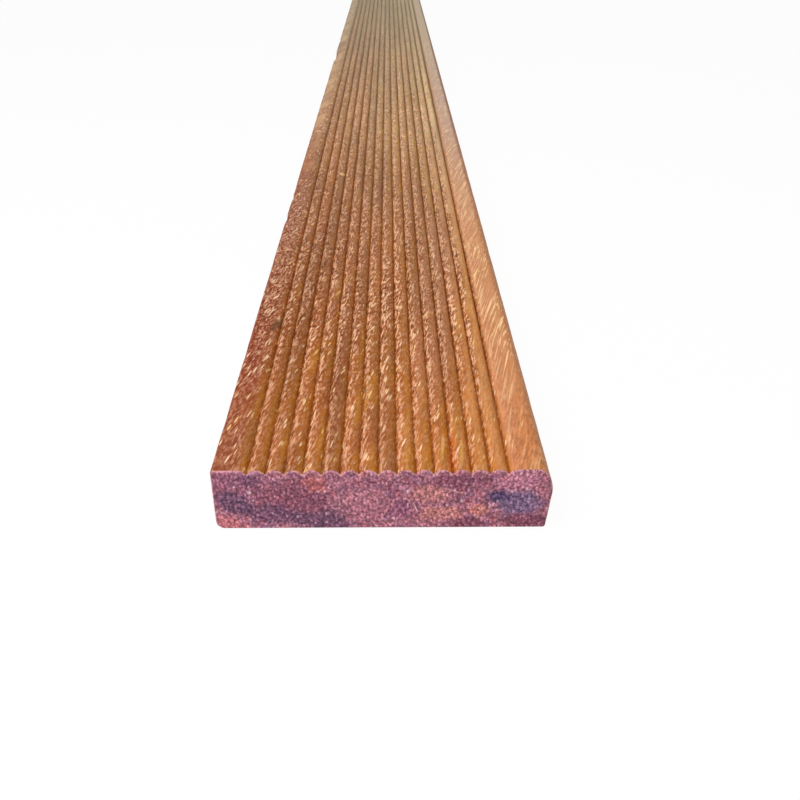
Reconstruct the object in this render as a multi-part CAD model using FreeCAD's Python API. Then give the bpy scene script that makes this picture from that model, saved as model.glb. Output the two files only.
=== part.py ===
"""Hardwood decking board: one planed length of stock that lies with its reeded face up.

The section is drawn in the XZ plane and run along Y. X goes from the left edge to the right edge,
Y along the board and Z up from the underside. The origin is at the middle of the underside.
All sizes are in millimetres.
"""

import FreeCAD
import Part

import math
import os

# Board
LENGTH = 1800.0
WIDTH = 90.0
THICKNESS = 19.0

# Reeded face: rounded reeds side by side, with a narrow groove between each two and at either side.
# The lands are the plain margins, from the edge to the middle of the nearest groove.
LEFT_LAND = 9.4
RIGHT_LAND = 12.0
NOMINAL_REED_PITCH = 4.9
GROOVE_DEPTH = 1.25
GROOVE_ROOT = 0.3  # flat at the bottom of a groove

# Left edge: square, with a nearly sharp top arris and an eased foot
LEFT_TOP_RADIUS = 0.8
LEFT_FOOT_RADIUS = 2.2

# Right edge: a nose that is widest along one line. Above that line the edge rounds over to the land
# as a quarter of an ellipse, and below it leans back to the foot.
NOSE_HEIGHT = 11.4  # of the widest line, above the underside
NOSE_REACH = 4.2  # from the widest line to the start of the flat land
RIGHT_FOOT_SETBACK = 1.2
RIGHT_FOOT_RADIUS = 0.8

LEFT_EDGE = -WIDTH / 2
RIGHT_EDGE = WIDTH / 2
NEAR_END = -LENGTH / 2

# Whole reeds fill the width between the lands, at the pitch nearest to the nominal one.
REED_FIELD = WIDTH - LEFT_LAND - RIGHT_LAND
REED_COUNT = round(REED_FIELD / NOMINAL_REED_PITCH)
REED_PITCH = REED_FIELD / REED_COUNT
FIRST_GROOVE = LEFT_EDGE + LEFT_LAND

# A reed is the arc that rises from one groove's root to the next and is THICKNESS high at its crest.
REED_CHORD = REED_PITCH - GROOVE_ROOT
REED_RADIUS = (GROOVE_DEPTH**2 + (REED_CHORD / 2) ** 2) / (2 * GROOVE_DEPTH)
REED_HALF_ANGLE = math.asin(REED_CHORD / 2 / REED_RADIUS)

# The middle weight at which a curve with three poles is a quarter of an ellipse
QUARTER_ELLIPSE_WEIGHT = math.sqrt(0.5)


def section_point(x, z):
    """A point of the section, at the near end of the board."""
    return FreeCAD.Vector(x, NEAR_END, z)


def on_reed(crest_x, angle):
    """The point of a reed's circle at an angle from upright, positive towards the right edge."""
    centre_z = THICKNESS - REED_RADIUS
    return section_point(
        crest_x + REED_RADIUS * math.sin(angle),
        centre_z + REED_RADIUS * math.cos(angle),
    )


def reed_arc(crest_x, start_angle, end_angle):
    """The stretch of a reed's circle between two angles."""
    angles = (start_angle, (start_angle + end_angle) / 2, end_angle)
    return Part.Arc(*(on_reed(crest_x, angle) for angle in angles)).toShape()


def corner_arc(before, corner, after, radius):
    """The arc that rounds a corner of the section, from the side of before to the side of after."""
    to_before = (before - corner).normalize()
    to_after = (after - corner).normalize()
    half_angle = to_before.getAngle(to_after) / 2
    reach = radius / math.tan(half_angle)
    inward = (to_before + to_after).normalize()
    middle = corner + inward * (radius / math.sin(half_angle) - radius)
    return Part.Arc(corner + to_before * reach, middle, corner + to_after * reach).toShape()


def nose_arc():
    """The quarter of an ellipse that rounds the right edge over, from its widest line to the land."""
    nose = Part.BezierCurve()
    nose.setPoles([
        section_point(RIGHT_EDGE, NOSE_HEIGHT),
        section_point(RIGHT_EDGE, THICKNESS),
        section_point(RIGHT_EDGE - NOSE_REACH, THICKNESS),
    ])
    nose.setWeight(2, QUARTER_ELLIPSE_WEIGHT)
    return nose.toShape()


def edge_arcs():
    """The round stretches of the two edges, from the left edge's top round the underside to the nose."""
    left_top = section_point(LEFT_EDGE, THICKNESS)
    left_foot = section_point(LEFT_EDGE, 0)
    right_foot = section_point(RIGHT_EDGE - RIGHT_FOOT_SETBACK, 0)
    widest = section_point(RIGHT_EDGE, NOSE_HEIGHT)
    right_top = section_point(RIGHT_EDGE, THICKNESS)
    return [
        corner_arc(right_top, left_top, left_foot, LEFT_TOP_RADIUS),
        corner_arc(left_top, left_foot, right_foot, LEFT_FOOT_RADIUS),
        corner_arc(left_foot, right_foot, widest, RIGHT_FOOT_RADIUS),
        nose_arc(),
    ]


def reed_arcs():
    """The reeds from right to left, between the shoulders where the two flat lands turn down to a groove."""
    crests = [FIRST_GROOVE + (reed + 0.5) * REED_PITCH for reed in range(-1, REED_COUNT + 1)]
    left_shoulder = reed_arc(crests[0], REED_HALF_ANGLE, 0)
    right_shoulder = reed_arc(crests[-1], 0, -REED_HALF_ANGLE)
    reeds = [reed_arc(crest, REED_HALF_ANGLE, -REED_HALF_ANGLE) for crest in reversed(crests[1:-1])]
    return [right_shoulder, *reeds, left_shoulder]


def section_face():
    """The board's section: the round stretches of its outline, joined by straight sides."""
    outline = []
    arcs = edge_arcs() + reed_arcs()
    for arc, following in zip(arcs, arcs[1:] + arcs[:1]):
        side = Part.LineSegment(arc.lastVertex().Point, following.firstVertex().Point)
        outline += [arc, side.toShape()]
    return Part.Face(Part.Wire(outline))


def decking_board():
    """The whole board: its section run along its length."""
    return section_face().extrude(FreeCAD.Vector(0, LENGTH, 0))


board = decking_board()
os.makedirs("parts", exist_ok=True)
board.exportStep("parts/decking_board.step")
print(
    f"decking_board: valid {board.isValid()}, {board.ShapeType}, {len(board.Faces)} faces, "
    f"{board.Volume / 1e6:.4f} litres, {REED_COUNT} reeds at {REED_PITCH:.2f} mm, "
    f"reed radius {REED_RADIUS:.2f} mm"
)
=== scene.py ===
# %% [markdown]
# # A reeded hardwood decking board
#
# The frame holds one CAD node: a straight length of decking. This lesson makes the board that the eye
# sees around that node: the same section with smoother reeds, the small unevenness that planing and
# sawing leave, and a solid wood that runs through all of its faces. The first cell loads the frame and
# keeps its box, because the finished board has to stay inside it.

# %% Load the frame
import math
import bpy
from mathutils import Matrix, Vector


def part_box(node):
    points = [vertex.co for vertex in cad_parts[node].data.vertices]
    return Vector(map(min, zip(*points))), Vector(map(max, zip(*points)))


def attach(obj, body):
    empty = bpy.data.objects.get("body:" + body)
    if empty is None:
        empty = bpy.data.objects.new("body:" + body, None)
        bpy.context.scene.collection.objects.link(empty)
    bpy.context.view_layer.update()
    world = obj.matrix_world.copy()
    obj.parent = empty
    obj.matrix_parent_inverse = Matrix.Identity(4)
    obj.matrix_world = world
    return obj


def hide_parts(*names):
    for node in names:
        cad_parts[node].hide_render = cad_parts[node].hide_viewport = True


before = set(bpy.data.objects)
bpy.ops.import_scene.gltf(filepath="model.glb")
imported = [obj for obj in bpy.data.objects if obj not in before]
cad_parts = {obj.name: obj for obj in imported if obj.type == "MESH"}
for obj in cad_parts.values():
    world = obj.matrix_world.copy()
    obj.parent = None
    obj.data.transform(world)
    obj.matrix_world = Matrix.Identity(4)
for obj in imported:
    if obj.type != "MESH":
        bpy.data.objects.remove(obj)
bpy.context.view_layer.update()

from types import SimpleNamespace

import bmesh
import bpy
from mathutils import Matrix, Vector, noise

MM = 0.001
NODE = "decking_board"
low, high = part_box(NODE)
LEFT_EDGE, RIGHT_EDGE = low.x, high.x
NEAR_END, FAR_END = low.y, high.y
UNDERSIDE, TOP = low.z, high.z
print(f"board {(high - low) / MM} mm, near end at y = {NEAR_END:.3f} m")

# %% [markdown]
# ## The section
#
# Decking like this is run through a moulder, so it has one section all along. The section could be traced
# point by point, but a moulder's knives are arcs and straight lines, and so is the outline here: a single
# vertex is swept round each arc with Spin, which leaves a run of edges behind it, and is extruded along
# each straight side. The values below are the section's sizes; width and thickness come from the frame.

# %% Sizes of the section
LEFT_LAND = 9.4 * MM
RIGHT_LAND = 12.0 * MM
NOMINAL_REED_PITCH = 4.9 * MM
GROOVE_DEPTH = 1.25 * MM
GROOVE_ROOT = 0.3 * MM
LEFT_TOP_RADIUS = 0.8 * MM
LEFT_FOOT_RADIUS = 2.2 * MM
NOSE_HEIGHT = 11.4 * MM
NOSE_REACH = 4.2 * MM
RIGHT_FOOT_SETBACK = 1.2 * MM
RIGHT_FOOT_RADIUS = 0.8 * MM

REED_FIELD = RIGHT_EDGE - LEFT_EDGE - LEFT_LAND - RIGHT_LAND
REED_COUNT = round(REED_FIELD / NOMINAL_REED_PITCH)
REED_PITCH = REED_FIELD / REED_COUNT
FIRST_GROOVE = LEFT_EDGE + LEFT_LAND
LAST_GROOVE = FIRST_GROOVE + REED_FIELD
REED_CHORD = REED_PITCH - GROOVE_ROOT
REED_RADIUS = (GROOVE_DEPTH**2 + (REED_CHORD / 2) ** 2) / (2 * GROOVE_DEPTH)
REED_HALF_ANGLE = math.asin(REED_CHORD / 2 / REED_RADIUS)
print(f"{REED_COUNT} reeds at {REED_PITCH / MM:.2f} mm, radius {REED_RADIUS / MM:.2f} mm")

# %% [markdown]
# Two helpers draw the outline. Each one starts from the vertex where the outline has got to and returns
# the vertex where it ends, so the outline reads like a route round the board, clockwise as the near end
# is looked at. A positive turn about +Y goes from up to right, which is clockwise there.

# %% Outline helpers
def straight_to(bm, start, x, z, parts=1):
    """Extrude the outline's last vertex to a point of the section, in equal parts."""
    stride = (Vector((x, NEAR_END, z)) - start.co) / parts
    at = start
    for _ in range(parts):
        at = bmesh.ops.extrude_vert_indiv(bm, verts=[at])["verts"][0]
        bmesh.ops.translate(bm, verts=[at], vec=stride)
    return at


def turn_about(bm, start, x, z, angle, steps):
    """Sweep the outline's last vertex clockwise about a centre, and list the new vertices in order."""
    before = set(bm.verts)
    made = bmesh.ops.spin(
        bm, geom=[start], cent=(x, NEAR_END, z), axis=(0, 1, 0), angle=angle, steps=steps
    )
    swept = [vert for vert in bm.verts if vert not in before]
    end = next(item for item in made["geom_last"] if isinstance(item, bmesh.types.BMVert))
    return end, swept


print("outline helpers ready")

# %% [markdown]
# The route starts at the left foot, goes up the left edge, over the reeded face and down the right edge,
# and ends along the underside. Round stretches get enough steps to look round from close by.

# %% Left edge
ARRIS_STEPS = 4
SIDE_PARTS = 5


def draw_left_edge(bm):
    """The eased foot, the upright side and the top arris of the left edge."""
    start = bm.verts.new((LEFT_EDGE + LEFT_FOOT_RADIUS, NEAR_END, UNDERSIDE))
    at, _ = turn_about(
        bm, start, LEFT_EDGE + LEFT_FOOT_RADIUS, UNDERSIDE + LEFT_FOOT_RADIUS, math.pi / 2, ARRIS_STEPS
    )
    at = straight_to(bm, at, LEFT_EDGE, TOP - LEFT_TOP_RADIUS, SIDE_PARTS)
    at, _ = turn_about(
        bm, at, LEFT_EDGE + LEFT_TOP_RADIUS, TOP - LEFT_TOP_RADIUS, math.pi / 2, ARRIS_STEPS
    )
    return start, at


board_bm = bmesh.new()
first_vert, reached = draw_left_edge(board_bm)
print(f"left edge: {len(board_bm.verts)} vertices so far")

# %% Reeded face
REED_STEPS = 10
LAND_PARTS = 6


def draw_reeded_face(bm, at):
    """The left land, the reeds with a groove on either side of each, and the right land."""
    crest_z = TOP - REED_RADIUS
    root_z = TOP - GROOVE_DEPTH
    at = straight_to(bm, at, FIRST_GROOVE - REED_PITCH / 2, TOP, LAND_PARTS)
    at, _ = turn_about(
        bm, at, FIRST_GROOVE - REED_PITCH / 2, crest_z, REED_HALF_ANGLE, REED_STEPS // 2
    )
    for reed in range(REED_COUNT):
        groove = FIRST_GROOVE + reed * REED_PITCH
        at = straight_to(bm, at, groove + GROOVE_ROOT / 2, root_z)
        at, _ = turn_about(bm, at, groove + REED_PITCH / 2, crest_z, 2 * REED_HALF_ANGLE, REED_STEPS)
    at = straight_to(bm, at, LAST_GROOVE + GROOVE_ROOT / 2, root_z)
    at, _ = turn_about(bm, at, LAST_GROOVE + REED_PITCH / 2, crest_z, REED_HALF_ANGLE, REED_STEPS // 2)
    return straight_to(bm, at, RIGHT_EDGE - NOSE_REACH, TOP, LAND_PARTS)


reached = draw_reeded_face(board_bm, reached)
print(f"reeded face: {len(board_bm.verts)} vertices so far")

# %% Right edge and underside
NOSE_STEPS = 10
UNDERSIDE_PARTS = 14
MERGE_DISTANCE = 0.001 * MM


def draw_right_edge(bm, at):
    """The nose, a quarter circle stretched to an ellipse, then the lean to the foot and its rounding."""
    nose_rise = TOP - UNDERSIDE - NOSE_HEIGHT
    centre = Vector((RIGHT_EDGE - NOSE_REACH, NEAR_END, TOP - NOSE_REACH))
    at, swept = turn_about(bm, at, centre.x, centre.z, math.pi / 2, NOSE_STEPS)
    bmesh.ops.scale(
        bm,
        vec=(1, 1, nose_rise / NOSE_REACH),
        verts=swept,
        space=Matrix.Translation((0, 0, -TOP)),
    )
    lean = math.atan2(RIGHT_FOOT_SETBACK, NOSE_HEIGHT)
    turn = math.pi / 2 - lean
    reach = RIGHT_FOOT_RADIUS * math.tan(turn / 2)
    foot = Vector((RIGHT_EDGE - RIGHT_FOOT_SETBACK, NEAR_END, UNDERSIDE))
    at = straight_to(
        bm, at, foot.x + reach * math.sin(lean), foot.z + reach * math.cos(lean), SIDE_PARTS
    )
    at, _ = turn_about(bm, at, foot.x - reach, UNDERSIDE + RIGHT_FOOT_RADIUS, turn, ARRIS_STEPS)
    return at


reached = draw_right_edge(board_bm, reached)
straight_to(board_bm, reached, first_vert.co.x, UNDERSIDE, UNDERSIDE_PARTS)
bmesh.ops.remove_doubles(board_bm, verts=board_bm.verts, dist=MERGE_DISTANCE)
print(f"outline of {len(board_bm.edges)} edges and {len(board_bm.verts)} vertices")

# %% [markdown]
# ## From outline to board
#
# The closed outline is filled, extruded to the far end and cut across into many short stretches, so that
# the faces can take some unevenness. The cuts lie closer together near the two ends, where a saw leaves
# more to see.

# %% Extrude the board
STRETCHES = 400
END_CROWDING = 0.75  # share of the cuts' spacing that follows a sine, which crowds them at the ends

near_face = bmesh.ops.contextual_create(board_bm, geom=board_bm.edges[:])["faces"][0]
extruded = bmesh.ops.extrude_face_region(board_bm, geom=[near_face])["geom"]
far_verts = [item for item in extruded if isinstance(item, bmesh.types.BMVert)]
bmesh.ops.translate(board_bm, verts=far_verts, vec=(0, FAR_END - NEAR_END, 0))
bmesh.ops.recalc_face_normals(board_bm, faces=board_bm.faces)

long_edges = [edge for edge in board_bm.edges if abs(edge.verts[0].co.y - edge.verts[1].co.y) > MM]
bmesh.ops.subdivide_edges(board_bm, edges=long_edges, cuts=STRETCHES - 1, use_grid_fill=True)
for vert in board_bm.verts:
    share = vert.co.y / FAR_END
    crowded = (1 - END_CROWDING) * share + END_CROWDING * math.sin(share * math.pi / 2)
    vert.co.y = FAR_END * crowded
print(f"extruded, with {len(long_edges)} long edges cut into {STRETCHES} stretches each")

# %% [markdown]
# A saw breaks a narrow rim off the arris of an end. It could be a bevel, but the reeds are too fine for
# one, so the end face is inset by the rim's width and the outline around it is drawn back by as much.

# %% Break the arris at both ends
END_RIM = 0.5 * MM
END_FACING = 0.9  # share of a normal along the board, above which a face is an end

rim_layer = board_bm.verts.layers.float.new("rim")
end_faces = [face for face in board_bm.faces if abs(face.normal.y) > END_FACING]
for face in end_faces:
    outward = math.copysign(END_RIM, face.normal.y)
    ring = bmesh.ops.inset_region(board_bm, faces=[face], thickness=END_RIM, use_even_offset=True)["faces"]
    outline = {vert for part in ring for vert in part.verts} - set(face.verts)
    bmesh.ops.translate(board_bm, verts=list(outline), vec=(0, -outward, 0))
    for vert in outline:
        vert[rim_layer] = 1.0
print(f"board of {len(board_bm.faces)} faces, {len(end_faces)} ends")

# %% [markdown]
# Three facts about the surface are kept on the mesh for the materials: whether a point is on the broken
# rim of an end, how deep it lies in a groove, and which flank of a reed it is on. They are float
# attributes, so they follow the surface through every later change of shape.

# %% Attributes
REEDED_DEPTH = 1.5 * GROOVE_DEPTH  # below the top, within which a point is on the reeded face

hollow_layer = board_bm.verts.layers.float.new("hollow")
flank_layer = board_bm.verts.layers.float.new("flank")
for vert in board_bm.verts:
    in_field = FIRST_GROOVE - REED_PITCH / 2 < vert.co.x < LAST_GROOVE + REED_PITCH / 2
    if in_field and vert.co.z > TOP - REEDED_DEPTH:
        reed_place = (vert.co.x - FIRST_GROOVE) / REED_PITCH
        vert[flank_layer] = 2 * (reed_place - math.floor(reed_place)) - 1
        vert[hollow_layer] = min(1.0, max(0.0, (TOP - vert.co.z) / GROOVE_DEPTH))
print("attributes:", board_bm.verts.layers.float.keys())

# %% [markdown]
# ## Unevenness
#
# A moulded board isn't a perfect extrusion: the reeds waver by some hundredths of a millimetre, fibres
# tear out of their left flanks, and the left arris has been knocked here and there. The vertices are
# pushed a little inwards by smooth noise, and by a dent at each knock. It could be a Displace modifier,
# but moving the vertices here keeps every push inside the CAD box.

# %% Knocks
# Each knock on the left arris: distance from the near end, half length and depth
KNOCKS = [
    (200 * MM, 4 * MM, 0.4 * MM),
    (231 * MM, 4 * MM, 0.5 * MM),
    (635 * MM, 22 * MM, 1.2 * MM),
    (722 * MM, 8 * MM, 0.7 * MM),
]
KNOCK_POWER = 4  # the higher, the flatter the bottom of a knock


def knock_depth(y):
    """How deep the left arris is knocked in at a place along the board."""
    deepest = 0.0
    for middle, half_length, depth in KNOCKS:
        off = abs(y - NEAR_END - middle) / half_length
        deepest = max(deepest, depth * max(0.0, 1 - off**KNOCK_POWER))
    return deepest


print(f"{len(KNOCKS)} knocks, the deepest {max(depth for _, _, depth in KNOCKS) / MM:.1f} mm")

# %% Push the vertices in
WAVER_SIDEWAYS = 0.08 * MM
WAVER_DOWN = 0.10 * MM
TORN_DEPTH = 0.12 * MM
EDGE_DENTS = 0.25 * MM
REACH_OF_EDGE = 3.0 * MM
WORN_DEPTH = 2 * GROOVE_DEPTH  # below the top, within which the reeds waver and tear
# Noises over the board: grain size across and along, and a seed
SIDEWAYS_NOISE = (4 * MM, 45 * MM, 3.1)
DOWN_NOISE = (5 * MM, 30 * MM, 8.7)
TORN_NOISE = (1.3 * MM, 5 * MM, 21.9)
DENT_NOISE = (9 * MM, 14 * MM, 15.3)


def smooth_noise(position, across, along, seed):
    """Noise from -1 to 1 over the board, with its own grain size across and along."""
    place = Vector((position.x / across, position.y / along, position.z / across + seed))
    return noise.noise(place)


def settle(vert):
    """Push one vertex in by the wear that its place gets."""
    place = vert.co.copy()
    if place.z > TOP - WORN_DEPTH:
        from_field = max(FIRST_GROOVE - place.x, place.x - LAST_GROOVE, 0.0)
        in_field = max(0.0, 1 - from_field / (REED_PITCH / 2))
        vert.co.x += in_field * WAVER_SIDEWAYS * smooth_noise(place, *SIDEWAYS_NOISE)
        vert.co.z -= WAVER_DOWN * (0.5 + 0.5 * smooth_noise(place, *DOWN_NOISE))
        torn = max(0.0, smooth_noise(place, *TORN_NOISE)) * (1 - max(0.0, vert[flank_layer]))
        vert.co.z -= TORN_DEPTH * torn
    from_left = place.x - LEFT_EDGE
    from_right = RIGHT_EDGE - place.x
    wear = max(0.0, smooth_noise(place, *DENT_NOISE))
    if from_left < REACH_OF_EDGE:
        vert.co.x += EDGE_DENTS * wear * (1 - from_left / REACH_OF_EDGE)
    if from_right < REACH_OF_EDGE:
        vert.co.x -= EDGE_DENTS * wear * (1 - from_right / REACH_OF_EDGE)
    from_arris = max(from_left, TOP - place.z)
    if from_arris < REACH_OF_EDGE:
        push = knock_depth(place.y) * (1 - from_arris / REACH_OF_EDGE)
        vert.co += Vector((push, 0, -push))


for vert in board_bm.verts:
    settle(vert)
print(f"{len(board_bm.verts)} vertices settled")

# %% [markdown]
# The moulded faces and the two sawn ends get a material each, so the faces are sorted by where they point.
# The bmesh then becomes the finished piece, which rides on the only body and stands for the CAD node.

# %% Make the piece
LONG_GRAIN_SLOT, END_GRAIN_SLOT = 0, 1
RIM_FACING = 0.5  # share of a normal along the board, above which a face is an end or its rim
SHARP_ANGLE = math.radians(40)

for face in board_bm.faces:
    is_end = abs(face.normal.y) > RIM_FACING
    face.material_index = END_GRAIN_SLOT if is_end else LONG_GRAIN_SLOT
    face.smooth = not is_end

board_mesh = bpy.data.meshes.new("reeded_board")
board_bm.to_mesh(board_mesh)
board_bm.free()
board_mesh.set_sharp_from_angle(angle=SHARP_ANGLE)
board = bpy.data.objects.new("reeded_board", board_mesh)
bpy.context.scene.collection.objects.link(board)
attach(board, "root")
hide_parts(NODE)
print(f"{board.name}: {sum(len(p.vertices) - 2 for p in board_mesh.polygons)} triangles")

# %% [markdown]
# ## Building materials from nodes
#
# A few helpers keep the node trees short: one places a node and fills its inputs, the others are the
# nodes that come up again and again. Colours are written as the usual 0 to 255 screen values.

# %% Node helpers
def screen_colour(red, green, blue):
    """Screen values from 0 to 255 as the linear colour that a socket takes."""
    channels = []
    for value in (red, green, blue):
        share = value / 255
        channels.append(share / 12.92 if share <= 0.04045 else ((share + 0.055) / 1.055) ** 2.4)
    return (*channels, 1.0)


def place_node(tree, kind, inputs=None, **settings):
    """Add a node, set its settings, and link or set its inputs by name or number."""
    made = tree.nodes.new(kind)
    for name, value in settings.items():
        setattr(made, name, value)
    for key, value in (inputs or {}).items():
        socket = made.inputs[key]
        if isinstance(value, bpy.types.NodeSocket):
            tree.links.new(value, socket)
        else:
            socket.default_value = value
    return made


def maths(tree, operation, first, second=0.0, third=0.0):
    """The result of a Math node."""
    inputs = {0: first, 1: second, 2: third}
    return place_node(tree, "ShaderNodeMath", inputs, operation=operation).outputs[0]


def spread(tree, value, low_end, high_end, to_low=0.0, to_high=1.0):
    """A value moved smoothly from one range to another and held at its ends."""
    inputs = {
        "Value": value, "From Min": low_end, "From Max": high_end, "To Min": to_low, "To Max": to_high,
    }
    return place_node(tree, "ShaderNodeMapRange", inputs, interpolation_type="SMOOTHSTEP").outputs[0]


def blend_colour(tree, factor, under, over, mode="MIX"):
    """Two colours mixed, or combined by another blend mode."""
    inputs = {0: factor, 6: under, 7: over}
    return place_node(tree, "ShaderNodeMix", inputs, data_type="RGBA", blend_type=mode).outputs[2]


def new_group(name, takes, gives):
    """An empty shader node group with named sockets, and its input and output nodes."""
    tree = bpy.data.node_groups.new(name, "ShaderNodeTree")
    for socket_name, socket_type in takes.items():
        tree.interface.new_socket(name=socket_name, in_out="INPUT", socket_type=socket_type)
    for socket_name, socket_type in gives.items():
        tree.interface.new_socket(name=socket_name, in_out="OUTPUT", socket_type=socket_type)
    return tree, tree.nodes.new("NodeGroupInput"), tree.nodes.new("NodeGroupOutput")


FLOAT, VECTOR = "NodeSocketFloat", "NodeSocketVector"
print("node helpers ready")

# %% [markdown]
# ## The solid wood
#
# Wood has its pattern all through it, so the two materials share one group that is read at a point in
# space and knows nothing of faces. Five noises that are stretched along Y give the mottle of the fibres,
# fine and coarse, and the slower changes. Flecks are stretched Voronoi cells: in each a chance decides
# whether it is pale, dark or neither, and three sizes overlap, so there is something to see from close by
# and from far away. Rare longer cells are glints. The vessels are tubes along Y, so they are cells in the
# plane across the grain, and show as dots on an end.

# %% Noise and cells
def scaled_space(tree, position, size, turn=(0, 0, 0)):
    """Coordinates that are turned and then count one unit to each cell of that size."""
    inputs = {"Vector": position, "Rotation": turn, "Scale": size}
    return place_node(tree, "ShaderNodeMapping", inputs, vector_type="TEXTURE").outputs[0]


def soft_noise(tree, vector, detail=2.0, rough=0.5, output=0):
    """A noise texture's value or colour at coordinates that are already scaled."""
    inputs = {"Vector": vector, "Scale": 1.0, "Detail": detail, "Roughness": rough}
    return place_node(tree, "ShaderNodeTexNoise", inputs).outputs[output]


def cells(tree, vector, edge=0.62, core=0.3, dimensions="3D"):
    """Voronoi cells at coordinates that are already scaled: a core in each, and its chance."""
    inputs = {"Vector": vector, "Scale": 1.0, "Randomness": 1.0}
    made = place_node(tree, "ShaderNodeTexVoronoi", inputs, voronoi_dimensions=dimensions)
    chance = place_node(tree, "ShaderNodeSeparateColor", {0: made.outputs["Color"]}).outputs[0]
    return spread(tree, made.outputs["Distance"], edge, core), chance


print("noise and cells ready")

# %% Solid wood group
FLECKS = [  # cell size and strength
    ((0.50 * MM, 1.5 * MM, 0.50 * MM), 0.7),
    ((0.65 * MM, 2.4 * MM, 0.65 * MM), 0.9),
    ((0.90 * MM, 3.2 * MM, 0.90 * MM), 1.0),
]
FLECK_CHANCE = 0.25
FLECK_SURE = 0.2  # share of the chance within which a fleck has its full strength
GLINT_SIZE = (0.55 * MM, 4.4 * MM, 0.55 * MM)
GLINT_CHANCE = 0.12
GLINT_SURE = 0.7
VESSEL_SIZE = (0.95 * MM, 1.5 * MM, 1.0)
VESSEL_EDGE = 0.6
VESSEL_CORE = 0.05
NOISES = {  # grain size, detail and roughness
    "Mottle": ((0.40 * MM, 1.7 * MM, 0.40 * MM), 1.0, 0.5),
    "Coarse": ((0.72 * MM, 3.0 * MM, 0.72 * MM), 2.0, 0.6),
    "Fibre": ((0.36 * MM, 9.0 * MM, 0.36 * MM), 3.0, 0.6),
    "Ribbon": ((6.0 * MM, 60.0 * MM, 6.0 * MM), 2.0, 0.5),
    "Cloud": ((4.6 * MM, 42.0 * MM, 4.6 * MM), 3.0, 0.55),
}


def make_flecks(tree, position):
    """Pale and dark flecks of all sizes, as two masks."""
    pale = dark = 0.0
    for size, strength in FLECKS:
        core, chance = cells(tree, scaled_space(tree, position, size))
        lucky = spread(tree, chance, 1 - FLECK_CHANCE, 1 - FLECK_SURE * FLECK_CHANCE, 0.0, strength)
        unlucky = spread(tree, chance, FLECK_CHANCE, FLECK_SURE * FLECK_CHANCE, 0.0, strength)
        pale = maths(tree, "MAXIMUM", pale, maths(tree, "MULTIPLY", core, lucky))
        dark = maths(tree, "MAXIMUM", dark, maths(tree, "MULTIPLY", core, unlucky))
    return pale, dark


def make_solid_wood():
    names = ("Pale", "Dark", "Glint", "Vessel", "Vessel Chance", *NOISES)
    tree, taken, given = new_group("solid_wood", {"Grain Position": VECTOR}, dict.fromkeys(names, FLOAT))
    position = taken.outputs["Grain Position"]
    pale, dark = make_flecks(tree, position)
    core, chance = cells(tree, scaled_space(tree, position, GLINT_SIZE))
    rare = spread(tree, chance, 1 - GLINT_CHANCE, 1 - GLINT_SURE * GLINT_CHANCE)
    glint = maths(tree, "MULTIPLY", core, rare)
    axes = place_node(tree, "ShaderNodeSeparateXYZ", {0: position}).outputs
    cut = place_node(tree, "ShaderNodeCombineXYZ", {"X": axes["X"], "Y": axes["Z"]}).outputs[0]
    vessel = cells(tree, scaled_space(tree, cut, VESSEL_SIZE), VESSEL_EDGE, VESSEL_CORE, "2D")
    noises = [
        soft_noise(tree, scaled_space(tree, position, size), detail, rough)
        for size, detail, rough in NOISES.values()
    ]
    for name, socket in zip(names, (pale, dark, glint, *vessel, *noises)):
        tree.links.new(socket, given.inputs[name])
    return tree


solid_wood = make_solid_wood()
print(f"{solid_wood.name}: {len(solid_wood.nodes)} nodes")

# %% [markdown]
# ## From values to a material
#
# Both materials end in the same way: a colour, a roughness and a relief go into one Principled shader.
# Its gloss is that of bare planed wood. Two more groups serve both. One sways a position, because no grain
# is straight. The other is for marks that sit at one place, such as a stain: an ellipse in the board's own
# frame, whose Mapping node moves the middle of the mark to zero and scales its reach to one.

# %% Material helpers
WOOD_IOR = 1.5


def new_material(name):
    """A material with an empty node tree."""
    material = bpy.data.materials.new(name)
    material.use_nodes = True
    material.node_tree.nodes.clear()
    return material, material.node_tree


def object_position(tree):
    """The shaded point in the board's own frame."""
    return place_node(tree, "ShaderNodeTexCoord").outputs["Object"]


def use_group(tree, group, *values):
    """The outputs of a group that is placed in a material, with its inputs filled in order."""
    return place_node(tree, "ShaderNodeGroup", dict(enumerate(values)), node_tree=group).outputs


def named_attribute(tree, name):
    """A float attribute of the mesh."""
    return place_node(tree, "ShaderNodeAttribute", attribute_name=name).outputs["Fac"]


def finish_material(material, tree, colour, roughness, gloss, height, bump_reach, bump_strength):
    """Bring colour, roughness and relief together in one shader."""
    bump = place_node(tree, "ShaderNodeBump", {
        "Strength": bump_strength, "Distance": bump_reach, "Height": height,
    })
    shader = place_node(tree, "ShaderNodeBsdfPrincipled", {
        "Base Color": colour, "Roughness": roughness, "Normal": bump.outputs[0],
    })
    shader.inputs["IOR"].default_value = WOOD_IOR
    shader.inputs["Specular IOR Level"].default_value = gloss
    output = place_node(tree, "ShaderNodeOutputMaterial")
    tree.links.new(shader.outputs[0], output.inputs["Surface"])
    return material


print("material helpers ready")

# %% Sway and soft spot groups
SWAY_STRETCH = 2.0  # a sway is this much longer along the board than across it


def vector_maths(tree, operation, first, second):
    """The vector result of a Vector Math node."""
    return place_node(tree, "ShaderNodeVectorMath", {0: first, 1: second}, operation=operation).outputs[0]


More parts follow.
